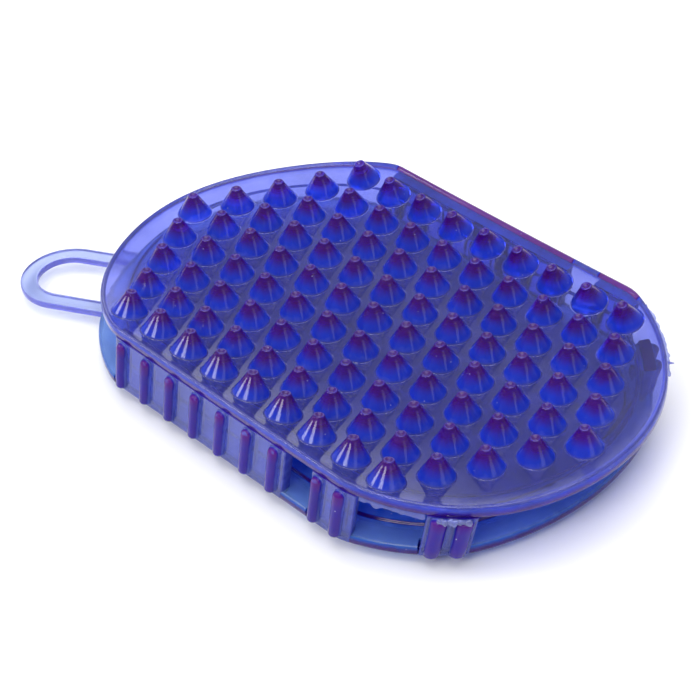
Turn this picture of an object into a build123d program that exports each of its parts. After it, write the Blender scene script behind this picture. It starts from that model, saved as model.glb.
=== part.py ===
from build123d import *
from math import cos, hypot, radians, sin, sqrt
import os

os.makedirs("parts", exist_ok=True)

# Grooming glove: two pads of soft gel, joined along both sides into a flat mitt.
# The upper pad carries large massage cones and the lower one fine nubs.
# X runs from the open wrist end to the finger end, Y across the palm, Z up.
# The origin is on the resting plane, at the tip of the middle nub. Millimetres.

# ---- driving dimensions ----------------------------------------------------
half_width = 52.3  # straight sides of both pads, from the X axis
end_radius = 54.6  # the arc at each end
end_centre_x = 29.1  # the arcs' centres, either side of the pad's middle
corner_radius = 15.0  # where a straight side runs into an arc
nose_x = 80.2  # the lower pad's finger end is cut back to here
nose_radius = 74.0  # along this flatter arc
nose_blend_radius = 40.0  # which is blended into the outline

plate_t = 3.0  # thickness of a pad at its edge
field_inset = 7.5  # the thicker middle of a pad starts this far inside its edge
field_step = 0.8  # and stands this much proud on the inner side
edge_round = 0.6
rim_width = 2.4  # raised rim round the upper pad
rim_height = 0.8

pocket_height = 12.0  # between the pads, at the sides
lean = 4.0  # the walls lean this far towards the fingers over their height

cone_pitch = 12.4
cone_row_step = cone_pitch * sqrt(3) / 2
cone_rows = 9
cone_widest_row = 13
cone_base_r = 4.9
cone_tip_r = 1.3
cone_height = 6.2

nub_pitch = 8.27
nub_row_step = nub_pitch * sqrt(3) / 2
nub_rows = 11
nub_widest_row = 17
nub_base_r = 2.3
nub_tip_r = 1.5
nub_height = 3.0

wall_t = 3.0
wall_start_x = -44.0  # wrist end of each side wall, at its foot
wall_end_x = 23.7
rib_r = 1.7
rib_count = 7
rib_pitch = 10.1
last_rib_x = 19.9
rib_foot_gap = 1.2  # ribs stop this far above the lower face of the base pad
rib_top_gap = 0.4  # and this far below the upper pad

palm_strap_start_x = 33.3
palm_strap_end_x = 48.0
palm_strap_ribs_x = (35.9, 43.6)
nose_strap_start_deg = 38.5  # about the finger-end arc's centre
nose_strap_end_deg = 51.5
nose_rib_r = 2.2
nose_ribs_deg = (41.8, 48.2)
far_nose_turn_deg = 4.5  # the far nose strap stands this much nearer the wrist
far_nose_inset = 2.8  # and this far inside the outline

weld_r = 1.2  # bead along the inner top corner of each wall

loop_direction = 208.0  # degrees from +X, about the wrist-end arc's centre
loop_spacing = 22.4  # between the two arms' centre lines
loop_band = 5.0
loop_t = 2.0
loop_reach = 83.4  # from the wrist-end arc's centre to the loop's tip
hinge_out = 4.0  # the loop bends along a line this far outside the pad's edge
hinge_gap = 0.3

# ---- levels and derived sizes ----------------------------------------------
base_z = nub_height
floor_z = base_z + plate_t
ceiling_z = floor_z + pocket_height
top_z = ceiling_z + plate_t
top_x = lean  # the upper pad sits this far forward of the lower one
lean_length = hypot(lean, pocket_height)
lean_dir = (lean / lean_length, 0, pocket_height / lean_length)
far_reach = 4 * half_width  # larger than any sketch that it trims


def lean_at(z):
    """How far the walls have moved forward at height z."""
    return lean * (z - floor_z) / pocket_height


def pad_outline(centre_x, inset=0.0):
    """The pads' outline: a slot with its long sides cut straight."""
    with BuildSketch(mode=Mode.PRIVATE) as outline:
        with Locations((centre_x, 0)):
            SlotCenterToCenter(2 * end_centre_x, 2 * (end_radius - inset))
            Rectangle(far_reach, 2 * (half_width - inset), mode=Mode.INTERSECT)
        fillet(outline.vertices().filter_by(is_side_corner), corner_radius)
    return outline.sketch


def is_side_corner(vertex):
    """Where a straight side meets an arc."""
    return abs(abs(vertex.Y) - half_width) < field_inset + weld_r + wall_t


def base_outline(inset=0.0):
    """The lower pad's outline, shorter than the upper one's at the finger end."""
    with BuildSketch(mode=Mode.PRIVATE) as kept:
        with Locations(Location((nose_x - nose_radius, 0, 0), (0, 0, 180))):
            Circle(nose_radius - inset)
        with Locations((end_centre_x - far_reach / 2, 0)):
            Rectangle(far_reach, far_reach)
    with BuildSketch(mode=Mode.PRIVATE) as outline:
        add(pad_outline(0, inset))
        add(kept.sketch, mode=Mode.INTERSECT)
        fillet(outline.vertices().filter_by(is_nose_corner), nose_blend_radius)
    return outline.sketch


def is_nose_corner(vertex):
    """Where the lower pad's flatter arc starts."""
    return vertex.X > end_centre_x + end_radius / 2


def hex_rows(pitch, row_step, rows, widest):
    """Centres of a hexagonal field whose rows shorten by one each way."""
    centres = []
    for row in range(rows):
        off_middle = abs(row - rows // 2)
        count = widest - off_middle
        y = (row - rows // 2) * row_step
        centres += [((i - (count - 1) / 2) * pitch, y) for i in range(count)]
    return centres


# ---- upper pad: plate, raised rim, thicker inner field and cones -------------
with BuildPart() as cone:
    with BuildSketch(Plane.XZ):
        Polygon(
            (0, -edge_round),
            (cone_base_r, -edge_round),
            (cone_base_r, 0),
            (cone_tip_r, cone_height),
            (0, cone_height),
            align=None,
        )
    revolve(axis=Axis.Z)

with BuildPart() as top_nub_pad:
    with BuildSketch(Plane.XY.offset(ceiling_z)):
        add(pad_outline(top_x))
    extrude(amount=plate_t)
    fillet(top_nub_pad.edges().group_by(Axis.Z)[-1], edge_round)
    with BuildSketch(Plane.XY.offset(top_z)):
        add(pad_outline(top_x, edge_round))
        add(pad_outline(top_x, edge_round + rim_width), mode=Mode.SUBTRACT)
    extrude(amount=rim_height)
    with BuildSketch(Plane.XY.offset(ceiling_z)):
        add(pad_outline(top_x, field_inset))
    extrude(amount=-field_step)
    cone_places = hex_rows(cone_pitch, cone_row_step, cone_rows, cone_widest_row)
    with Locations(*[(top_x + x, y, top_z) for x, y in cone_places]):
        add(cone.part)
top_nub_pad.part.label = "top_nub_pad"
export_step(top_nub_pad.part, "parts/top_nub_pad.step")


# ---- hanging loop and its two roots on the base pad ---------------------------
loop_frame = Plane(
    origin=(-end_centre_x, 0, base_z + plate_t / 2),
    x_dir=(cos(radians(loop_direction)), sin(radians(loop_direction)), 0),
    z_dir=(0, 0, 1),
)
arm_offset = loop_spacing / 2
root_out = sqrt(end_radius**2 - arm_offset**2)  # where an arm's line leaves the pad
hinge_at = root_out + hinge_out
bend_centre = loop_reach - arm_offset - loop_band / 2
hinge_r = loop_t / 2

with BuildPart() as hanging_loop:
    with BuildSketch(loop_frame):
        with Locations((bend_centre, 0)):
            Circle(arm_offset + loop_band / 2)
            Circle(arm_offset - loop_band / 2, mode=Mode.SUBTRACT)
            with Locations((-far_reach / 2, 0)):
                Rectangle(far_reach, far_reach, mode=Mode.SUBTRACT)
        arm_length = bend_centre - hinge_at
        arm_middle = hinge_at + arm_length / 2
        with Locations((arm_middle, arm_offset), (arm_middle, -arm_offset)):
            Rectangle(arm_length, loop_band)
    extrude(amount=loop_t / 2, both=True)
    knuckle_frame = Plane(loop_frame.location * Location((hinge_at, 0, 0)))
    with BuildSketch(Plane(knuckle_frame.origin, x_dir=loop_frame.x_dir, z_dir=loop_frame.y_dir)):
        Circle(hinge_r)
    extrude(amount=arm_offset + loop_band / 2, both=True)
    with BuildSketch(loop_frame):
        with Locations((hinge_at, 0)):
            Rectangle(2 * hinge_r, loop_spacing - loop_band)
    extrude(amount=loop_t / 2, both=True, mode=Mode.SUBTRACT)
hanging_loop.part.label = "hanging_loop"
export_step(hanging_loop.part, "parts/hanging_loop.step")


# ---- lower pad: plate, thicker inner field, fine nubs and the loop's roots ----
with BuildPart() as nub:
    with BuildSketch(Plane.XZ):
        Polygon(
            (0, edge_round),
            (nub_base_r, edge_round),
            (nub_base_r, 0),
            (nub_tip_r, -nub_height),
            (0, -nub_height),
            align=None,
        )
    revolve(axis=Axis.Z)

with BuildPart() as base_nub_pad:
    with BuildSketch(Plane.XY.offset(base_z)):
        add(base_outline())
    extrude(amount=plate_t)
    fillet(base_nub_pad.edges().group_by(Axis.Z)[0], edge_round)
    with BuildSketch(Plane.XY.offset(floor_z)):
        add(base_outline(field_inset))
    extrude(amount=field_step)
    root_length = hinge_out - hinge_r - hinge_gap
    with BuildSketch(loop_frame):
        root_middle = root_out + root_length - field_inset / 2
        with Locations((root_middle, arm_offset), (root_middle, -arm_offset)):
            Rectangle(field_inset, loop_band)
    extrude(amount=loop_t / 2, both=True)
    nub_places = hex_rows(nub_pitch, nub_row_step, nub_rows, nub_widest_row)
    with Locations(*[(x, y, base_z) for x, y in nub_places]):
        add(nub.part)
base_nub_pad.part.label = "base_nub_pad"
export_step(base_nub_pad.part, "parts/base_nub_pad.step")


# ---- walls and straps between the pads, with their ribs and weld beads --------
def band(z, inner, outer, trim):
    """The part of the band between two insets of the outline that trim covers, at height z."""
    with BuildSketch(mode=Mode.PRIVATE) as strip:
        add(pad_outline(lean_at(z), outer))
        add(pad_outline(lean_at(z), inner), mode=Mode.SUBTRACT)
        add(trim(lean_at(z)), mode=Mode.INTERSECT)
    return strip.sketch


def x_trim(start, end, side):
    """A trim that keeps from start to end on one side of the X axis."""

    def trim(shift):
        with BuildSketch(mode=Mode.PRIVATE) as keep:
            with Locations(((start + end) / 2 + shift, side * half_width)):
                Rectangle(end - start, half_width)
        return keep.sketch

    return trim


def angle_trim(start, end, side):
    """A trim that keeps a sector about the finger-end arc's centre."""

    def trim(shift):
        reach = 2 * end_radius
        with BuildSketch(mode=Mode.PRIVATE) as keep:
            with Locations((end_centre_x + shift, 0)):
                Polygon(
                    (0, 0),
                    (reach * cos(radians(start)), side * reach * sin(radians(start))),
                    (reach * cos(radians(end)), side * reach * sin(radians(end))),
                    align=None,
                )
        return keep.sketch

    return trim


def outline_y(x):
    """Half the pad's width at x, on the finger half of its outline."""
    if x <= end_centre_x:
        return half_width
    return min(half_width, sqrt(end_radius**2 - (x - end_centre_x) ** 2))


def make_wall(name, trim, rib_feet, radius, inset):
    """A leaning wall, set in from the outline, with round-topped ribs on its outer face."""
    rib_foot_z = base_z + rib_foot_gap
    rib_top_z = ceiling_z - rib_top_gap - radius
    rib_length = (rib_top_z - rib_foot_z) * lean_length / pocket_height
    with BuildPart() as wall:
        with BuildSketch(Plane.XY.offset(floor_z)):
            add(band(floor_z, inset + wall_t, inset, trim))
        extrude(amount=lean_length, dir=lean_dir)
        for x, y in rib_feet:
            foot_x = x + lean_at(rib_foot_z)
            with BuildSketch(Plane.XY.offset(rib_foot_z)):
                with Locations((foot_x, y)):
                    Circle(radius)
            extrude(amount=rib_length, dir=lean_dir)
            with Locations((x + lean_at(rib_top_z), y, rib_top_z)):
                Sphere(radius)
        # the ribs bulge outwards only: clear the pocket behind them and the base pad
        with BuildSketch(Plane.XY.offset(floor_z)):
            add(pad_outline(0, inset + wall_t))
        extrude(amount=lean_length, dir=lean_dir, mode=Mode.SUBTRACT)
        with BuildSketch(Plane.XY.offset(base_z)):
            add(base_outline())
        extrude(amount=plate_t, mode=Mode.SUBTRACT)
    wall.part.label = name
    export_step(wall.part, f"parts/{name}.step")
    return wall.part


def make_weld(name, trim, inset):
    """The bead that joins a wall's inner top corner to the upper pad."""
    foot_z = ceiling_z - weld_r
    inner_face = inset + wall_t
    with BuildPart() as weld:
        with BuildSketch(Plane.XY.offset(foot_z)):
            add(band(foot_z, inner_face + weld_r, inner_face, trim))
        extrude(amount=weld_r * lean_length / pocket_height, dir=lean_dir)
    weld.part.label = name
    export_step(weld.part, f"parts/{name}.step")
    return weld.part


def members(side):
    """The wall and straps on one side: name, trim, rib feet, rib radius and inset."""
    turn = far_nose_turn_deg if side > 0 else 0
    inset = far_nose_inset if side > 0 else 0
    rib_reach = end_radius - inset
    wall_ribs = [(last_rib_x - i * rib_pitch, side * half_width) for i in range(rib_count)]
    palm_ribs = [(x, side * outline_y(x)) for x in palm_strap_ribs_x]
    nose_ribs = [
        (end_centre_x + rib_reach * cos(radians(a + turn)), side * rib_reach * sin(radians(a + turn)))
        for a in nose_ribs_deg
    ]
    nose_trim = angle_trim(nose_strap_start_deg + turn, nose_strap_end_deg + turn, side)
    return (
        ("side_wall", x_trim(wall_start_x, wall_end_x, side), wall_ribs, rib_r, 0),
        ("palm_strap", x_trim(palm_strap_start_x, palm_strap_end_x, side), palm_ribs, rib_r, 0),
        ("nose_strap", nose_trim, nose_ribs, nose_rib_r, inset),
    )


made = [top_nub_pad.part, base_nub_pad.part, hanging_loop.part]
for side_name, side in (("near", -1), ("far", 1)):
    for member, trim, rib_feet, radius, inset in members(side):
        made.append(make_wall(f"{side_name}_{member}", trim, rib_feet, radius, inset))
        made.append(make_weld(f"{side_name}_{member}_weld", trim, inset))

hinge_point = loop_frame.from_local_coords((hinge_at, 0, 0))
print("loop hinge", hinge_point, "volume", round(sum(p.volume for p in made)))
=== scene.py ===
import math

import bmesh
import bpy
import numpy as np
from mathutils import Matrix, Vector, noise
from mathutils.geometry import delaunay_2d_cdt


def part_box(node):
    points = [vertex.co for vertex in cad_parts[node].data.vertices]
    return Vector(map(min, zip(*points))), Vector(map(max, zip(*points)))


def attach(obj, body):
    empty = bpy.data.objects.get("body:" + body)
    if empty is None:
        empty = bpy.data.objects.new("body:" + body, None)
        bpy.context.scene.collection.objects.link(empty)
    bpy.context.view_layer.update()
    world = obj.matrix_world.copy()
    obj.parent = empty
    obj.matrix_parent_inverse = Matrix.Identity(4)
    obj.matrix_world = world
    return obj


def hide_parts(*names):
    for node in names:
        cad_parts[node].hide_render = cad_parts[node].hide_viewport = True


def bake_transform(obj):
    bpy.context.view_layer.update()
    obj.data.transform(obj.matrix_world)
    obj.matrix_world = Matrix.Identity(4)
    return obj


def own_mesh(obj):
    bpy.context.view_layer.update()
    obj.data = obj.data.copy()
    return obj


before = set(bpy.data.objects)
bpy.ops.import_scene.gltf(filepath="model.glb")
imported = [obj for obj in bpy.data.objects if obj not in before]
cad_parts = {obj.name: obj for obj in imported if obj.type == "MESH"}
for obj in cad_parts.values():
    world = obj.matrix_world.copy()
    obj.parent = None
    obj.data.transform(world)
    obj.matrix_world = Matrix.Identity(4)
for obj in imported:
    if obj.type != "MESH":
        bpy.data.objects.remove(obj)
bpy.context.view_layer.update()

# A grooming glove of soft translucent gel: a coned pad and a nubbed pad, joined along both sides.
# Lengths are in millimetres until a mesh is made, and then in metres, in the frame's own axes.
MM = 0.001

# Every point of a piece has a tone, which sets the colour painted on its gel there. The dye itself is even:
# the tones paint shade, dark and violet where light's path through the gel is long or turned back inside it,
# and clear where light comes straight through. A crown is the colour of the far side's top edges: painted
# shade on the upper pad's rim, and painted light from behind on the walls' tops.
CLEAR, DEEP, VIOLET, CROWN = 0.0, 0.5, 1.0, 1.25

# The triangulator's output type that drops what lies outside the ring, which may be slightly concave.
KEEP_INSIDE = 1


def box_mm(node):
    low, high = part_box(node)
    return np.array(low) / MM, np.array(high) / MM


# ---- the frame's own sizes ---------------------------------------------------
top_low, top_high = box_mm("top_nub_pad")
half_width = top_high[1]
top_x = (top_low[0] + top_high[0]) / 2
half_length = (top_high[0] - top_low[0]) / 2
cone_height = 6.2
plate_top = top_high[2] - cone_height

# ---- shape of the pads ---------------------------------------------------------
plate_t = 3.0
end_radius = 54.6
end_centre = half_length - end_radius
corner_radius = 15.0
nub_height = 3.0
base_z = nub_height
floor_z = base_z + plate_t
field_inset = 7.5
field_step = 0.8
wall_t = 3.0

cone_pitch = 12.4
cone_rows, cone_widest = 9, 13
nub_pitch = 8.27
nub_rows, nub_widest = 11, 17

# The soft upper pad sags between the stiff side walls. Depths at the middle, and how it rises outwards.
sag_middle = -1.9
rise_quartic = 4.92
dip_square = 1.23
rise_scale_y = 49.6
rise_ends = 0.86
rise_scale_x = 74.4


def level(x, y):
    """Height of the upper pad's top face at a point, x counted from the pad's middle."""
    v = (y / rise_scale_y) ** 2
    across = plate_top + sag_middle + rise_quartic * v * v - dip_square * v
    return across + rise_ends * (x / rise_scale_x) ** 2


def slope(x, y):
    """The upper pad's rise along X and Y at a point."""
    v = (y / rise_scale_y) ** 2
    along = 2 * rise_ends * x / rise_scale_x**2
    across = (2 * rise_quartic * v - dip_square) * 2 * y / rise_scale_y**2
    return along, across


# ---- the pads' outline -----------------------------------------------------------
corner_y = half_width - corner_radius
corner_x = end_centre + math.sqrt((end_radius - corner_radius) ** 2 - corner_y**2)
arc_end = math.atan2(corner_y, corner_x - end_centre)  # angle where the end arc meets the corner
end_length = end_radius * arc_end
corner_length = corner_radius * (math.pi / 2 - arc_end)
side_start = end_length + corner_length
side_end = side_start + 2 * corner_x
half_perimeter = side_end + side_start


def near_half(u):
    """Point and outward normal at arc length u, from the wrist end round the near side to the finger end."""
    if u > half_perimeter / 2:
        (x, y), (nx, ny) = near_half(half_perimeter - u)
        return (-x, y), (-nx, ny)
    if u < end_length:
        a = math.pi + u / end_radius
        n = (math.cos(a), math.sin(a))
        return (-end_centre + end_radius * n[0], end_radius * n[1]), n
    if u < side_start:
        a = math.pi + arc_end + (u - end_length) / corner_radius
        n = (math.cos(a), math.sin(a))
        return (-corner_x + corner_radius * n[0], -corner_y + corner_radius * n[1]), n
    return (u - side_start - corner_x, -half_width), (0.0, -1.0)


def u_at_x(x):
    """Arc length at x on the near straight side, and on past its ends."""
    return side_start + corner_x + x


def u_at_angle(degrees):
    """Arc length on the finger-end arc, at an angle from the X axis."""
    return half_perimeter - end_radius * math.radians(degrees)


def spread(start, end, step):
    """Evenly spaced values from start up to, and without, end."""
    count = max(1, round((end - start) / step))
    return [start + (end - start) * i / count for i in range(count)]


# ---- mesh helpers -------------------------------------------------------------------
class Shell:
    """A closed mesh that is built up ring by ring."""

    def __init__(self):
        self.verts = []
        self.faces = []
        self.tones = []

    def add(self, points, tone=0.0):
        """New points, which all get the tone, or one each from a list of tones."""
        first = len(self.verts)
        self.verts += [tuple(p) for p in points]
        self.tones += list(tone) if hasattr(tone, "__len__") else [tone] * len(points)
        return list(range(first, len(self.verts)))

    def bridge(self, a, b):
        """Quads between two closed rings of the same length."""
        n = len(a)
        self.faces += [(a[i], a[(i + 1) % n], b[(i + 1) % n], b[i]) for i in range(n)]

    def grid(self, rows):
        """Quads between open rows of the same length."""
        for a, b in zip(rows, rows[1:]):
            self.faces += [(a[i], a[i + 1], b[i + 1], b[i]) for i in range(len(a) - 1)]

    def fan(self, ring, centre):
        """Triangles between a closed ring and one point."""
        n = len(ring)
        self.faces += [(ring[i], ring[(i + 1) % n], centre) for i in range(n)]

    def tube(self, sections, tones):
        """A closed bar through rings of points, with flat ends."""
        rings = [self.add(section, tone) for section, tone in zip(sections, tones)]
        for a, b in zip(rings, rings[1:]):
            self.bridge(a, b)
        self.faces.append(tuple(reversed(rings[0])))
        self.faces.append(tuple(rings[-1]))

    def blob(self, centre, radii, tone, rows=6, segments=10):
        """A small closed egg."""
        cx, cy, cz = centre
        rx, ry, rz = radii
        bottom = self.add([(cx, cy, cz - rz)], tone)[0]
        previous = None
        for row in range(1, rows):
            v = math.pi * row / rows - math.pi / 2
            ring = self.add(
                [
                    (
                        cx + rx * math.cos(v) * math.cos(2 * math.pi * i / segments),
                        cy + ry * math.cos(v) * math.sin(2 * math.pi * i / segments),
                        cz + rz * math.sin(v),
                    )
                    for i in range(segments)
                ],
                tone,
            )
            if previous is None:
                self.fan(list(reversed(ring)), bottom)
            else:
                self.bridge(previous, ring)
            previous = ring
        self.fan(previous, self.add([(cx, cy, cz + rz)], tone)[0])

    def fill(self, ring, holes, extra, height, up=True, tone=0.0):
        """A sheet inside a ring, round the holes, through the extra points, which get the tone."""
        inner = self.add([(x, y, height(x, y)) for x, y in extra], tone)
        ids = list(ring) + [i for hole in holes for i in hole] + inner
        owner = {}
        for number, hole in enumerate(holes):
            owner.update({i: number for i in hole})
        flat = [Vector(self.verts[i][:2]) for i in ids]
        edges, start = [], 0
        for loop in [ring] + list(holes):
            n = len(loop)
            edges += [(start + i, start + (i + 1) % n) for i in range(n)]
            start += n
        _, _, triangles, origin, _, _ = delaunay_2d_cdt(flat, edges, [], KEEP_INSIDE, 1e-7)
        for t in triangles:
            corners = [ids[origin[k][0]] for k in t]
            owners = {owner.get(c, -1) for c in corners}
            if len(owners) == 1 and -1 not in owners:
                continue
            self.faces.append(tuple(corners) if up else tuple(reversed(corners)))

    def mirrored(self):
        """The same mesh on the other side of the X axis."""
        twin = Shell()
        twin.verts = [(x, -y, z) for x, y, z in self.verts]
        twin.faces = [tuple(reversed(f)) for f in self.faces]
        twin.tones = list(self.tones)
        return twin

    def piece(self, name, material, sharp_degrees=50):
        """The Blender object. Edges sharper than the angle stay sharp."""
        mesh = bpy.data.meshes.new(name)
        mesh.from_pydata([tuple(c * MM for c in v) for v in self.verts], [], self.faces)
        mesh.validate()
        sides = bmesh.new()
        sides.from_mesh(mesh)
        bmesh.ops.recalc_face_normals(sides, faces=sides.faces)
        sides.to_mesh(mesh)
        sides.free()
        mesh.attributes.new("tone", "FLOAT", "POINT").data.foreach_set("value", self.tones)
        mesh.shade_smooth()
        mesh.set_sharp_from_angle(angle=math.radians(sharp_degrees))
        mesh.materials.append(material)
        obj = bpy.data.objects.new(name, mesh)
        bpy.context.scene.collection.objects.link(obj)
        return obj


def hex_rows(pitch, rows, widest):
    """Centres of a hexagonal field whose rows shorten by one each way."""
    found = []
    for row in range(-(rows // 2), rows // 2 + 1):
        count = widest - abs(row)
        y = row * pitch * math.sqrt(3) / 2
        found += [((i - (count - 1) / 2) * pitch, y) for i in range(count)]
    return found


def filler_points(step, inset, centres, clearance):
    """A lattice inside the outline that stays clear of the centres."""
    kept = []
    taken = np.array(centres) if len(centres) else np.full((1, 2), 1e9)
    for i, y in enumerate(np.arange(-half_width + inset, half_width - inset, step * math.sqrt(3) / 2)):
        for x in np.arange(-half_length + inset, half_length - inset, step):
            px = x + (i % 2) * step / 2
            beyond = abs(px) - end_centre
            if beyond > 0 and math.hypot(beyond, y) > end_radius - inset:
                continue
            if np.min(np.hypot(taken[:, 0] - px, taken[:, 1] - y)) > clearance:
                kept.append((px, y))
    return kept


def whole_outline(us, inset_at):
    """Points round the whole outline: its near half (side -1), then its far half (side 1)."""
    near = [inside(u, inset_at(u, -1)) for u in us]
    far = [inside(u, inset_at(u, 1)) for u in reversed(us[1:-1])]
    return near + [(x, -y) for x, y in far]


def inside(u, inset):
    """The point of the near half at arc length u, moved in from the outline."""
    (x, y), (nx, ny) = near_half(u)
    return x - nx * inset, y - ny * inset


# ---- materials ------------------------------------------------------------------------
def node(tree, kind, **values):
    made = tree.nodes.new(kind)
    for key, value in values.items():
        setattr(made, key, value)
    return made


def sized_noise(tree, where, size_mm, detail):
    """Noise whose lumps are about size_mm across."""
    made = node(tree, "ShaderNodeTexNoise")
    made.inputs["Scale"].default_value = 1 / (size_mm * MM)
    made.inputs["Detail"].default_value = detail
    tree.links.new(where, made.inputs["Vector"])
    return made.outputs["Fac"]


def mapped(tree, value, source, target):
    """A value carried from one range to another."""
    made = node(tree, "ShaderNodeMapRange")
    made.inputs["From Min"].default_value, made.inputs["From Max"].default_value = source
    made.inputs["To Min"].default_value, made.inputs["To Max"].default_value = target
    tree.links.new(value, made.inputs["Value"])
    return made.outputs["Result"]


DYE = (0.02, 0.25, 0.93)


def gel(name, clear, deep, violet, see_through, density, haze, coat=0.0, gloss=0.38, crown=None):
    """Coloured gel, glossy and a little uneven, with a colour for each tone, which paints shade and light on
    it.

    see_through is the share of light let through where it is clear and where it is deep.
    density is how fast the dye darkens it where it is thick.
    """
    mat = bpy.data.materials.new(name)
    mat.use_nodes = True
    tree = mat.node_tree
    link = tree.links.new
    shader = tree.nodes["Principled BSDF"]
    shader.inputs["IOR"].default_value = 1.42
    shader.inputs["Specular IOR Level"].default_value = gloss
    shader.inputs["Coat Weight"].default_value = coat
    shader.inputs["Coat Roughness"].default_value = 0.06
    where = node(tree, "ShaderNodeTexCoord").outputs["Object"]
    tone = node(tree, "ShaderNodeAttribute", attribute_name="tone").outputs["Fac"]

    # Painted shade and light: the tone picks the colour from clear through deep and violet to the crown.
    ramp = node(tree, "ShaderNodeValToRGB")
    ramp.color_ramp.elements[0].color = (*clear, 1)
    ramp.color_ramp.elements[1].color = (*(crown or violet), 1)
    ramp.color_ramp.elements.new(DEEP / CROWN).color = (*deep, 1)
    ramp.color_ramp.elements.new(VIOLET / CROWN).color = (*violet, 1)
    cloud = sized_noise(tree, where, 3.0, 4)
    drift = node(tree, "ShaderNodeMath", operation="ADD")
    link(tone, drift.inputs[0])
    link(mapped(tree, cloud, (0.3, 0.7), (-0.06, 0.06)), drift.inputs[1])
    link(mapped(tree, drift.outputs["Value"], (CLEAR, CROWN), (0.0, 1.0)), ramp.inputs["Fac"])
    vary = node(tree, "ShaderNodeHueSaturation")
    link(mapped(tree, sized_noise(tree, where, 14.0, 3), (0.3, 0.7), (0.9, 1.08)), vary.inputs["Value"])
    link(ramp.outputs["Color"], vary.inputs["Color"])

    dust = node(tree, "ShaderNodeTexVoronoi")
    dust.inputs["Scale"].default_value = 1 / (3.5 * MM)
    link(where, dust.inputs["Vector"])
    speck = mapped(tree, dust.outputs["Distance"], (0.045, 0.03), (0.0, 0.8))
    dusty = node(tree, "ShaderNodeMix", data_type="RGBA")
    dusty.inputs["B"].default_value = (0.75, 0.78, 0.95, 1)
    link(speck, dusty.inputs["Factor"])
    link(vary.outputs["Color"], dusty.inputs["A"])
    link(dusty.outputs["Result"], shader.inputs["Base Color"])

    # Painted shade also lowers the share of light let through where the tone is deep.
    link(mapped(tree, tone, (CLEAR, DEEP), see_through), shader.inputs["Transmission Weight"])
    smear = sized_noise(tree, where, 2.2, 5)
    link(mapped(tree, smear, (0.35, 0.75), (haze * 0.6, haze * 1.8)), shader.inputs["Roughness"])

    bump = node(tree, "ShaderNodeBump")
    bump.inputs["Strength"].default_value = 0.07
    bump.inputs["Distance"].default_value = 0.0003
    link(sized_noise(tree, where, 9.0, 3), bump.inputs["Height"])
    link(bump.outputs["Normal"], shader.inputs["Normal"])

    volume = node(tree, "ShaderNodeVolumeAbsorption")
    volume.inputs["Color"].default_value = (*DYE, 1)
    volume.inputs["Density"].default_value = density
    link(volume.outputs["Volume"], tree.nodes["Material Output"].inputs["Volume"])
    return mat


cone_gel = gel(
    "cone_gel",
    clear=(0.37, 0.385, 0.85),
    deep=(0.018, 0.06, 0.76),
    violet=(0.075, 0.002, 0.21),
    crown=(0.20, 0.05, 0.30),
    see_through=(0.95, 0.50),
    density=160,
    haze=0.09,
    coat=0.1,
)
nub_gel = gel(
    "nub_gel",
    clear=(0.34, 0.57, 1.00),
    deep=(0.004, 0.13, 0.72),
    violet=(0.07, 0.005, 0.20),
    see_through=(0.78, 0.50),
    density=50,
    haze=0.12,
)
wall_gel = gel(
    "wall_gel",
    clear=(0.24, 0.31, 1.00),
    deep=(0.014, 0.010, 0.32),
    violet=(0.09, 0.006, 0.20),
    crown=(0.14, 0.30, 0.95),
    see_through=(0.80, 0.15),
    density=110,
    haze=0.06,
    gloss=0.2,
)
loop_gel = gel(
    "loop_gel",
    clear=(0.62, 0.69, 0.92),
    deep=(0.25, 0.26, 0.85),
    violet=(0.20, 0.12, 0.60),
    see_through=(0.95, 0.60),
    density=85,
    haze=0.05,
)
weld_gel = gel(
    "weld_gel",
    clear=(0.50, 0.56, 0.95),
    deep=(0.20, 0.22, 0.80),
    violet=(0.30, 0.12, 0.50),
    see_through=(0.80, 0.60),
    density=110,
    haze=0.05,
)

# ---- walls and straps: where they stand on the outline -------------------------------------
wall_start_x = -44.0
wall_end_x = 23.7
rib_r = 1.85
rib_count = 7
rib_pitch = 10.1
last_rib_x = 19.9
palm_start_x = 33.3
palm_end_x = 48.0
palm_ribs_x = (35.9, 43.6)
nose_start_degrees = 51.5  # on the finger-end arc, from the X axis
nose_end_degrees = 38.5
nose_ribs_degrees = (48.2, 41.8)
nose_rib_r = 2.2
far_nose_turn = 4.5  # degrees that the far nose strap stands nearer the wrist
far_nose_inset = 2.8


def members(side):
    """Each wall and strap of a side: its name, start, end, ribs, rib radius and inset."""
    turn, inset = (far_nose_turn, far_nose_inset) if side > 0 else (0, 0)
    wall_ribs = [u_at_x(last_rib_x - rib_pitch * i) for i in range(rib_count)]
    palm_ribs = [u_at_x(x) for x in palm_ribs_x]
    nose_ribs = [u_at_angle(degrees + turn) for degrees in nose_ribs_degrees]
    nose_start = u_at_angle(nose_start_degrees + turn)
    nose_end = u_at_angle(nose_end_degrees + turn)
    return (
        ("side_wall", u_at_x(wall_start_x), u_at_x(wall_end_x), wall_ribs, rib_r, 0),
        ("palm_strap", u_at_x(palm_start_x), u_at_x(palm_end_x), palm_ribs, rib_r, 0),
        ("nose_strap", nose_start, nose_end, nose_ribs, nose_rib_r, inset),
    )


def over_wall(u, side):
    """Whether a wall stands under this point of the outline."""
    return any(start < u < end and inset == 0 for _, start, end, _, _, inset in members(side))


# ---- upper pad ---------------------------------------------------------------------------
outline_step = 1.0
crown_width = 1.62  # the far rim is crowned from its edge in to here
crown_depth = 1.0  # and from its top down to here
cone_segments = 40
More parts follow.
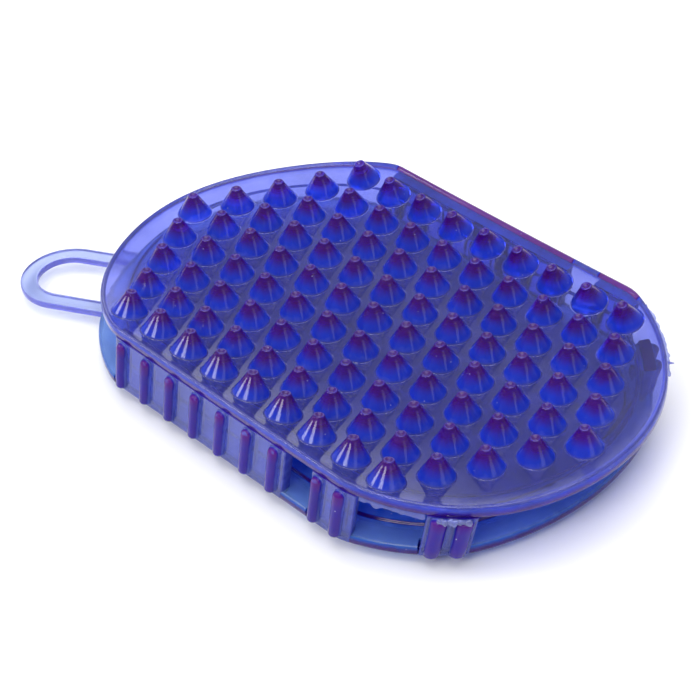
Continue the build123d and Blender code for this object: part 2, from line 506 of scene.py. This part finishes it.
# The tones paint shade on each cone: clear at the foot, deepening to violet from mid-height to the tip,
# where light is turned back inside the cone, with a slightly lighter painted highlight ring on the tip's
# crest.
cone_profile = (  # radius, height, tone
    (5.25, 0.0, 0.0),
    (5.04, 0.0, 0.05),
    (4.96, 0.03, 0.1),
    (4.9, 0.14, 0.2),
    (4.84, 0.32, 0.35),
    (4.6, 0.75, 0.48),
    (3.85, 1.95, 0.54),
    (3.25, 2.9, 0.7),
    (2.65, 3.85, 0.9),
    (2.1, 4.75, 1.0),
    (1.65, 5.5, 1.0),
    (1.52, 5.85, 1.0),
    (1.42, 6.08, 0.95),
    (1.18, 6.2, 0.85),
    (0.9, 6.14, 0.95),
    (0.65, 5.88, 1.0),
    (0.3, 5.78, 1.0),
)


def build_cone_pad():
    """The upper pad: a sagging plate with a raised rim, a thicker middle field and cones."""
    shell = Shell()
    us = spread(0, half_perimeter, outline_step) + [half_perimeter]
    # The tones paint shade on the rim: clear on the bead's top, darker and violet down the outer side, and a
    # darker line along the step of the underside's field.
    rim_profile = (  # inset from the outline, height above the plate's top face, tone
        (1.65, 0.0, 0.05),
        (1.6, 0.01, 0.1),
        (1.45, 0.07, 0.2),
        (1.2, 0.25, 0.35),
        (0.98, 0.37, 0.3),
        (0.75, 0.4, 0.15),
        (0.5, 0.34, 0.15),
        (0.28, 0.14, 0.3),
        (0.1, -0.22, 0.4),
        (0.0, -0.8, 0.55),
        (0.0, -1.5, 0.8),
        (0.0, -2.2, 0.95),
        (0.15, -2.62, 0.9),
        (0.5, -2.9, 0.3),
        (1.0, -3.0, 0.1),
        (3.0, -3.0, 0.0),
        (5.5, -3.0, 0.0),
        (field_inset - 0.45, -3.0, 0.0),
        (field_inset - 0.15, -3.12, 0.3),
        (field_inset, -3.4, 0.3),
        (field_inset + 0.15, -3.68, 0.3),
        (field_inset + 0.45, -3.8, 0.0),
        (field_inset + 1.6, -3.8, 0.0),
    )
    on_walls = [over_wall(u, -1) for u in us] + [over_wall(u, 1) for u in reversed(us[1:-1])]
    far_from = len(us)
    rings = []
    for inset, dz, tone in rim_profile:
        flat = whole_outline(us, lambda u, side: inset)
        tones = []
        for i, held in enumerate(on_walls):
            # Over the far walls the rim's edge gets the crown, a painted dark band where one looks down into
            # the wall's top.
            crowned = held and i >= far_from and inset < crown_width and dz > -crown_depth
            tones.append(CROWN if crowned else tone)
        rings.append(shell.add([(x, y, level(x, y) + dz) for x, y in flat], tones))
    for a, b in zip(rings, rings[1:]):
        shell.bridge(b, a)
    centres = hex_rows(cone_pitch, cone_rows, cone_widest)
    holes = []
    for cx, cy in centres:
        lean_x, lean_y = slope(cx, cy)
        previous = None
        for r, h, tone in cone_profile:
            ring = []
            for i in range(cone_segments):
                a = 2 * math.pi * i / cone_segments
                x, y = cx + r * math.cos(a), cy + r * math.sin(a)
                if h:  # the cones stand square to the sagging pad
                    ring.append((x - lean_x * h, y - lean_y * h, level(x, y) + h))
                else:
                    ring.append((x, y, level(x, y)))
            ring = shell.add(ring, tone)
            if previous is None:
                holes.append(ring)
            else:
                shell.bridge(previous, ring)
            previous = ring
        h = cone_profile[-1][1]
        centre = shell.add([(cx - lean_x * h, cy - lean_y * h, level(cx, cy) + h)], 1.0)
        shell.fan(previous, centre[0])
    foot = cone_profile[0][0]
    shell.fill(rings[0], holes, filler_points(2.4, 3.2, centres, foot + 0.9), level)
    thickness = plate_t + field_step
    under = filler_points(5.0, field_inset + 4.5, [], 0)
    shell.fill(rings[-1], [], under, lambda x, y: level(x, y) - thickness, up=False)
    shell.verts = [(x + top_x, y, z) for x, y, z in shell.verts]
    return shell.piece("cone_pad", cone_gel)


cone_pad = build_cone_pad()
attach(cone_pad, "upper_pad")
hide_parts("top_nub_pad")

# ---- lower pad ------------------------------------------------------------------------------
nose_x = 80.2  # the lower pad's finger end is cut back to here, along a flatter arc
nose_radius = 74.0
notch_gap = 0.05


def nose_cut(u):
    """How far the lower pad's finger end stands back from the outline."""
    angle = (half_perimeter - u) / end_radius
    if angle > arc_end:
        return 0.0
    off = end_centre - (nose_x - nose_radius)
    reach = math.sqrt(nose_radius**2 - (off * math.sin(angle)) ** 2) - off * math.cos(angle)
    cut = end_radius - reach
    return (cut + math.hypot(cut, 0.4)) / 2


def base_inset(u, side, inset):
    """The lower pad's edge stands back behind the walls that reach down past it."""
    for _, start, end, _, _, wall_inset in members(side):
        if wall_inset == 0 and start - notch_gap / 2 < u < end + notch_gap / 2:
            return max(inset, wall_t + notch_gap)
    return inset + nose_cut(u)


def build_nub_pad():
    """The lower pad: a flat plate with a thicker middle field and fine nubs underneath."""
    shell = Shell()
    ends = [v for side in (-1, 1) for _, start, end, *_ in members(side) for v in (start, end)]
    stops = sorted({0, half_perimeter} | {v + d for v in ends for d in (-notch_gap, notch_gap)})
    us = []
    for a, b in zip(stops, stops[1:]):
        us += spread(a, b, outline_step)
    us.append(half_perimeter)
    # The tones paint shade: the middle field under the upper pad darker, and dark lines along the field's
    # step and down the outer edge.
    profile = (  # inset from the outline, height above the plate's lower face, tone
        (field_inset + 1.6, plate_t + field_step, 0.4),
        (field_inset + 0.5, plate_t + field_step, 0.4),
        (field_inset + 0.2, plate_t + field_step - 0.1, 1.0),
        (field_inset, plate_t + 0.4, 1.0),
        (field_inset - 0.2, plate_t + 0.1, 1.0),
        (field_inset - 0.5, plate_t, 0.3),
        (4.5, plate_t, 0.0),
        (3.4, plate_t, 0.0),
        (1.3, plate_t, 0.0),
        (0.6, plate_t - 0.06, 0.05),
        (0.2, plate_t - 0.25, 0.25),
        (0.0, plate_t - 0.7, 0.6),
        (0.0, plate_t / 2, 0.9),
        (0.0, 0.7, 1.0),
        (0.15, 0.3, 1.0),
        (0.6, 0.05, 0.4),
        (1.2, 0.0, 0.1),
        (3.6, 0.0, 0.0),
    )
    rings = []
    for inset, dz, tone in profile:
        flat = whole_outline(us, lambda u, side: base_inset(u, side, inset))
        rings.append(shell.add([(x, y, base_z + dz) for x, y in flat], tone))
    for a, b in zip(rings, rings[1:]):
        shell.bridge(b, a)
    inner_z = floor_z + field_step
    # The middle field's top gets painted shade, as it lies in the upper pad's shadow.
    shell.fill(rings[0], [], filler_points(5.0, field_inset + 7.5, [], 0), lambda x, y: inner_z, tone=0.4)
    nub_profile = ((2.5, 0.0), (2.3, 0.2), (2.1, 0.8), (1.62, 2.6), (1.5, 2.88), (1.2, nub_height))
    segments = 16
    centres = hex_rows(nub_pitch, nub_rows, nub_widest)
    holes = []
    for cx, cy in centres:
        previous = None
        for r, depth in nub_profile:
            angles = [2 * math.pi * i / segments for i in range(segments)]
            around = [(cx + r * math.cos(a), cy + r * math.sin(a), base_z - depth) for a in angles]
            ring = shell.add(around, 0.3)
            if previous is None:
                holes.append(ring)
            else:
                shell.bridge(ring, previous)
            previous = ring
        shell.fan(list(reversed(previous)), shell.add([(cx, cy, base_z - nub_height)], 0.3)[0])
    extra = filler_points(4.0, 9.0, centres, nub_profile[0][0] + 1.0)
    shell.fill(rings[-1], holes, extra, lambda x, y: base_z, up=False)
    return shell.piece("nub_pad", nub_gel)


nub_pad = build_nub_pad()
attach(nub_pad, "base")
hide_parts("base_nub_pad")

# ---- walls and straps -----------------------------------------------------------------------
overlap = 0.25  # how far a wall's top sinks into the upper pad
edge_r = 0.5  # rounding of a wall's upright edges
foot_r = 0.6  # and of its foot
least_step = 0.03  # columns closer together than this are merged


def wall_top(x, y):
    """Height of a wall's top, just inside the upper pad."""
    return level(x, y) - plate_t + overlap


def wall_top_tone(side, inset):
    """Painted shade keeps the near tops dark. The far ones, seen through the upper pad, get violet painted
    shade where a strap stands in, and on the walls the crown, a painted light from behind.
    """
    if side < 0:
        return 0.6
    return 0.9 if inset else CROWN


def wall_columns(start, end, ribs, radius):
    """Arc lengths of a wall's columns, which stand closer across the ribs and at the ends."""
    across = [radius * math.sin(math.radians(a)) for a in range(-90, 91, 12)]
    marks = {r + d for r in ribs for d in across}
    marks |= {m for r in ribs for m in (r - radius - 0.15, r + radius + 0.15)}
    marks |= {v for d in (0, 0.08, 0.25, edge_r) for v in (start + d, end - d)}
    marks |= set(spread(start, end, 1.0))
    kept = [start]
    for u in sorted(marks):
        if kept[-1] + least_step < u < end - least_step:
            kept.append(u)
    return kept + [end]


def close_wall(shell, outer, inner):
    """Joins the outer and inner columns along the wall's top, its foot and its two ends."""
    for k in range(len(outer) - 1):
        shell.faces.append((outer[k][-1], outer[k + 1][-1], inner[k + 1][-1], inner[k][-1]))
        shell.faces.append((outer[k + 1][0], outer[k][0], inner[k][0], inner[k + 1][0]))
    first, last = (outer[0], inner[0]), (outer[-1], inner[-1])
    for m in range(len(outer[0]) - 1):
        shell.faces.append((first[0][m], first[0][m + 1], first[1][m + 1], first[1][m]))
        shell.faces.append((last[0][m + 1], last[0][m], last[1][m], last[1][m + 1]))


def build_wall(start, end, ribs, radius, inset, top_tone):
    """A slab that follows the outline and leans towards the fingers, with capsule-shaped ribs outside."""
    shell = Shell()
    foot = floor_z - overlap if inset else base_z
    cap_height = radius * (0.35 if radius > rib_r else 1.0)
    rib_foot = foot + 0.8 + cap_height
    columns = wall_columns(start, end, ribs, radius)
    cap = [cap_height * (1 - math.cos(math.radians(a))) for a in range(0, 91, 12)]

    rows = []
    for is_inner in (False, True):
        for u in columns:
            (x, y), (nx, ny) = near_half(u)
            top = wall_top(x, y)
            rib_head = top - overlap - 0.3 - cap_height
            low = sorted({0, 0.12, 0.35, 0.7} | {rib_foot - cap_height + c - foot for c in cap})
            high = [rib_head + cap_height - c for c in reversed(cap)] + [top - overlap, top - 0.1, top]
            middle = [foot + low[-1] + (high[0] - foot - low[-1]) * i / 4 for i in range(1, 4)]
            nearest = min(abs(u - r) for r in ribs)
            edge = max(0.0, edge_r - min(u - start, end - u))
            column, tones = [], []
            for z in [foot + v for v in low] + middle + high:
                shift = top_x * (z - base_z) / (top - base_z)
                along = max(rib_foot - z, 0, z - rib_head) * radius / cap_height
                bulge = math.sqrt(max(0.0, radius**2 - nearest**2 - along**2))
                below = max(0.0, foot_r - (z - foot))
                rounding = edge_r - math.sqrt(edge_r**2 - edge**2) + foot_r - math.sqrt(foot_r**2 - below**2)
                out = rounding * 0.6 - wall_t if is_inner else bulge - rounding
                column.append((x + nx * (out - inset) + shift, y + ny * (out - inset), z))
                # Painted shade on the wall: the ribs darker and more violet where they bulge and most at
                # their heads, dark lines on the inner face along each rib's edges, the top set by top_tone,
                # and darker rounded edges and foot.
                head = min(1.0, max(0.0, (z - rib_head) / radius + 0.6))
                rib_line = 0.8 if abs(nearest - radius) < 0.2 and not along else 0.0
                tone = rib_line if is_inner else min(1.0, 1.7 * bulge / radius) * (0.62 + 0.4 * head)
                if z > top - 1.5 * overlap:
                    tone = top_tone
                elif below or edge:
                    tone = max(tone, 0.35)
                tones.append(tone)
            rows.append(shell.add(column, tones))
    outer, inner = rows[: len(columns)], rows[len(columns) :]
    shell.grid([list(reversed(r)) for r in outer])
    shell.grid(inner)
    close_wall(shell, outer, inner)
    return shell


def wobble(u, seed, size):
    """Smooth unevenness from -1 to 1 along the outline, with lumps about size long."""
    return max(-1.0, min(1.0, 1.6 * noise.noise(Vector((u / size, seed, 0.5)))))


def build_weld(start, end, inset, seed):
    """The uneven bead along a wall's inner top corner."""
    shell = Shell()
    sections, tones = [], []
    inner_face = inset + wall_t
    for u in spread(start + 0.2, end - 0.2, 0.7) + [end - 0.2]:
        r = 1.0 + 0.22 * wobble(u, seed, 2.5)
        arc = [math.radians(a) for a in range(0, 91, 15)]
        ring = [(-0.3, 0.15), (r, 0.15)]
        ring += [(r * (1 - math.sin(a)), -r * (1 - math.cos(a))) for a in arc[1:]]
        ring.append((-0.3, -r))
        points = []
        for d, dz in ring:
            x, y = inside(u, inner_face + d)
            points.append((x + top_x, y, level(x, y) - plate_t + dz))
        sections.append(points)
        tones.append(0.3)
    shell.tube(sections, tones)
    return shell


def add_squeezed_blobs(shell, ribs, seed):
    """Gel that was squeezed out at a strap's outer top, between its ribs."""
    count = 11
    for i in range(count):
        u = ribs[0] + (ribs[1] - ribs[0]) * (i / (count - 1) * 1.15 - 0.05)
        size = 0.75 + 0.25 * wobble(i * 3.7, seed, 1.0)
        x, y = inside(u, -1.3 - 0.4 * wobble(i * 2.3, seed + 1, 1.0))
        drop = 0.45 + 0.55 * abs(wobble(i * 1.9, seed + 2, 1.0))
        centre = (x + top_x, y, level(x, y) - plate_t - drop + 0.4)
        shell.blob(centre, (size, size * 0.9, size * 1.15), 0.15)


for side, side_name in ((-1, "near"), (1, "far")):
    for number, (member, start, end, ribs, radius, inset) in enumerate(members(side)):
        (mid_x, mid_y), _ = near_half((start + end) / 2)
        shell = build_wall(start, end, ribs, radius, inset, wall_top_tone(side, inset))
        wall = (shell if side < 0 else shell.mirrored()).piece(f"{side_name}_{member}_gel", wall_gel, 60)
        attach(wall, "base")
        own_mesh(wall)
        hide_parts(f"{side_name}_{member}")

        shell = build_weld(start, end, inset, 10 * number + side)
        if member == "nose_strap" and side < 0:
            add_squeezed_blobs(shell, ribs, 4)
        weld = (shell if side < 0 else shell.mirrored()).piece(f"{side_name}_{member}_bead", weld_gel, 60)
        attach(weld, "upper_pad")
        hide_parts(f"{side_name}_{member}_weld")


# ---- moulding flash under the upper pad's rim --------------------------------------------------
def build_flash(start, end, down, hang, jut, seed):
    """A thin ragged fringe along the rim's edge, which hangs down and juts out unevenly."""
    shell = Shell()
    sections = []
    for u in spread(start, end, 0.45) + [end]:
        ragged = 0.5 + 0.5 * wobble(u, seed, 1.6)
        fine = 0.5 + 0.5 * wobble(u, seed + 7, 0.6)
        amount = 0.15 + 0.6 * ragged + 0.25 * fine
        (x, y), (nx, ny) = near_half(u)
        z = level(x, y) - down
        points = []
        for out, rise in ((-0.7, 0.35), (-0.35, 0.4), (jut * amount, -hang * amount + 0.1)):
            points.append((x + nx * out + top_x, y + ny * out, z + rise))
        out, rise = jut * amount - 0.22, -hang * amount
        points.append((x + nx * out + top_x, y + ny * out, z + rise))
        sections.append(points)
    shell.tube(sections, [0.1] * len(sections))
    return shell


def add_spur(shell):
    """A thin spike of gel that juts out of the upper pad's edge."""
    (x, y), (out_x, out_y) = near_half(u_at_angle(47.0))
    z = level(x, y) - plate_t + 0.3
    sections = []
    for out, thick in ((-0.5, 0.35), (0.6, 0.22), (1.3, 0.14), (1.9, 0.06)):
        bx, by = x + top_x + out_x * out, y + out_y * out
        square = ((-thick, -thick), (thick, -thick), (thick, thick), (-thick, thick))
        sections.append([(bx - out_y * a, by + out_x * a, z + b - 0.1 * out) for a, b in square])
    shell.tube(sections, [0.5] * len(sections))


near_shell = build_flash(u_at_x(48.6), u_at_angle(52.0), down=plate_t, hang=1.5, jut=0.35, seed=2)
near_flash = near_shell.piece("near_flash", weld_gel)
far_shell = build_flash(u_at_angle(68.0), u_at_angle(40.0), down=1.2, hang=0.2, jut=1.0, seed=5)
add_spur(far_shell)
far_flash = far_shell.mirrored().piece("far_flash", weld_gel)
for flash in (near_flash, far_flash):
    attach(flash, "upper_pad")

# ---- hanging loop -----------------------------------------------------------------------------
loop_direction = math.radians(208)
loop_spacing = 22.4
loop_reach = 83.4
loop_band = 5.0
loop_t = 2.0
loop_z = base_z + plate_t / 2
loop_root = 51.6  # both arms start inside the lower pad


def build_loop():
    """A flat band that leaves the lower pad, turns round a half circle and comes back."""
    shell = Shell()
    arm = loop_spacing / 2
    turn_at = loop_reach - loop_band / 2 - arm
    path = [(s, -arm, 0, -1) for s in spread(loop_root, turn_at, 1.5)]
    turns = [math.radians(a) for a in range(-90, 91, 5)]
    path += [(turn_at + arm * math.cos(a), arm * math.sin(a), math.cos(a), math.sin(a)) for a in turns]
    path += [(s, arm, 0, 1) for s in reversed(spread(loop_root, turn_at, 1.5))]
    half, rise = loop_band / 2, loop_t / 2
    quarter = [
        (half, 0.0),
        (half, rise - 0.35),
        (half - 0.1, rise - 0.12),
        (half - 0.35, rise),
        (half - 0.9, rise),
        (half - 1.6, rise),
    ]
    upper = quarter + [(-w, h) for w, h in reversed(quarter)]
    section = upper + [(-w, -h) for w, h in upper[1:-1]]
    # Painted shade: the band's edges are darker, where light bends at its sides.
    tone = [0.5 if abs(w) > half - 0.2 else 0.15 if abs(w) > half - 0.5 else 0.0 for w, _ in section]
    ahead = (math.cos(loop_direction), math.sin(loop_direction))
    rings = []
    for s, t, out_s, out_t in path:
        ring = []
        for w, h in section:
            a, b = s + out_s * w, t + out_t * w
            x = a * ahead[0] - b * ahead[1] - end_centre
            ring.append((x, a * ahead[1] + b * ahead[0], loop_z + h))
        rings.append(ring)
    shell.tube(rings, [tone] * len(rings))
    return shell.piece("loop_band", loop_gel)


loop = build_loop()


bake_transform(loop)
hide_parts("hanging_loop")

# ---- floor, camera and light -------------------------------------------------------------------
def plain(name, colour, roughness):
    """A material of one colour."""
    mat = bpy.data.materials.new(name)
    mat.use_nodes = True
    shader = mat.node_tree.nodes["Principled BSDF"]
    shader.inputs["Base Color"].default_value = (*colour, 1)
    shader.inputs["Roughness"].default_value = roughness
    return mat


floor_mesh = bpy.data.meshes.new("floor")
floor_reach = 6.0
floor_corners = [(floor_reach * x, floor_reach * y, 0) for x, y in ((-1, -1), (1, -1), (1, 1), (-1, 1))]
floor_mesh.from_pydata(floor_corners, [], [(0, 1, 2, 3)])
floor = bpy.data.objects.new("floor", floor_mesh)
floor_mesh.materials.append(plain("floor_white", (0.93, 0.93, 0.94), 0.6))
bpy.context.scene.collection.objects.link(floor)

# The camera was fitted to the photo. Its place is counted in cone spacings from the middle cone's tip.
camera_azimuth = math.radians(49.62)
camera_elevation = math.radians(38.0)
camera_roll = math.radians(-4.17)
focal = 108.0
middle_tip_z = 25.3
camera_x = top_x + 26.743 * cone_pitch
camera_y = -23.482 * cone_pitch
camera_z = middle_tip_z + 26.624 * cone_pitch
camera_at = Vector((camera_x, camera_y, camera_z)) * MM
forward = Vector(
    (
        -math.sin(camera_azimuth) * math.cos(camera_elevation),
        math.cos(camera_azimuth) * math.cos(camera_elevation),
        -math.sin(camera_elevation),
    )
)
right = forward.cross(Vector((0, 0, 1))).normalized()
right = Matrix.Rotation(-camera_roll, 3, forward) @ right
up = right.cross(forward)
camera_data = bpy.data.cameras.new("camera")
camera_data.lens = focal
camera_data.sensor_width = 36
camera_data.clip_start = 0.01
camera = bpy.data.objects.new("camera", camera_data)
camera.matrix_world = Matrix.Translation(camera_at) @ Matrix((right, up, -forward)).transposed().to_4x4()
bpy.context.scene.collection.objects.link(camera)
bpy.context.scene.camera = camera


def softbox(name, at, size, brightness):
    """A soft panel that faces the object. Brightness is its own radiance, where 1 is a white floor's."""
    data = bpy.data.lights.new(name, "AREA")
    data.shape = "RECTANGLE"
    data.size, data.size_y = size
    data.energy = brightness * math.pi * size[0] * size[1]
    lamp = bpy.data.objects.new(name, data)
    lamp.location = at
    lamp.rotation_euler = (Vector((0, 0, 0)) - Vector(at)).to_track_quat("-Z", "Y").to_euler()
    lamp.visible_camera = False
    bpy.context.scene.collection.objects.link(lamp)


softbox("overhead", (0.1, 0.0, 1.45), (1.5, 1.5), 2.9)
softbox("front_panel", (0.31, -0.88, 0.84), (0.45, 0.35), 9.0)
softbox("left_panel", (-0.6, -0.6, 0.5), (0.35, 0.25), 9.0)
softbox("right_panel", (0.87, -0.03, 0.42), (0.40, 0.32), 1.1)

world = bpy.data.worlds.new("studio")
world.use_nodes = True
sky = world.node_tree
sky.nodes["Background"].inputs["Color"].default_value = (0.97, 0.98, 1.0, 1)
# The surroundings brighten away from the camera, and most in a patch that the pad's plate mirrors.
far_way = node(sky, "ShaderNodeVectorMath", operation="DOT_PRODUCT")
far_way.inputs[1].default_value = (-0.63, 0.70, 0.34)
sky.links.new(node(sky, "ShaderNodeTexCoord").outputs["Generated"], far_way.inputs[0])
glow = node(sky, "ShaderNodeMath", operation="ADD")
sky.links.new(mapped(sky, far_way.outputs["Value"], (-0.6, 0.85), (0.25, 0.58)), glow.inputs[0])
sky.links.new(mapped(sky, far_way.outputs["Value"], (0.945, 0.99), (0.0, 1.1)), glow.inputs[1])
sky.links.new(glow.outputs["Value"], sky.nodes["Background"].inputs["Strength"])
bpy.context.scene.world = world
bpy.context.scene.view_settings.view_transform = "Standard"
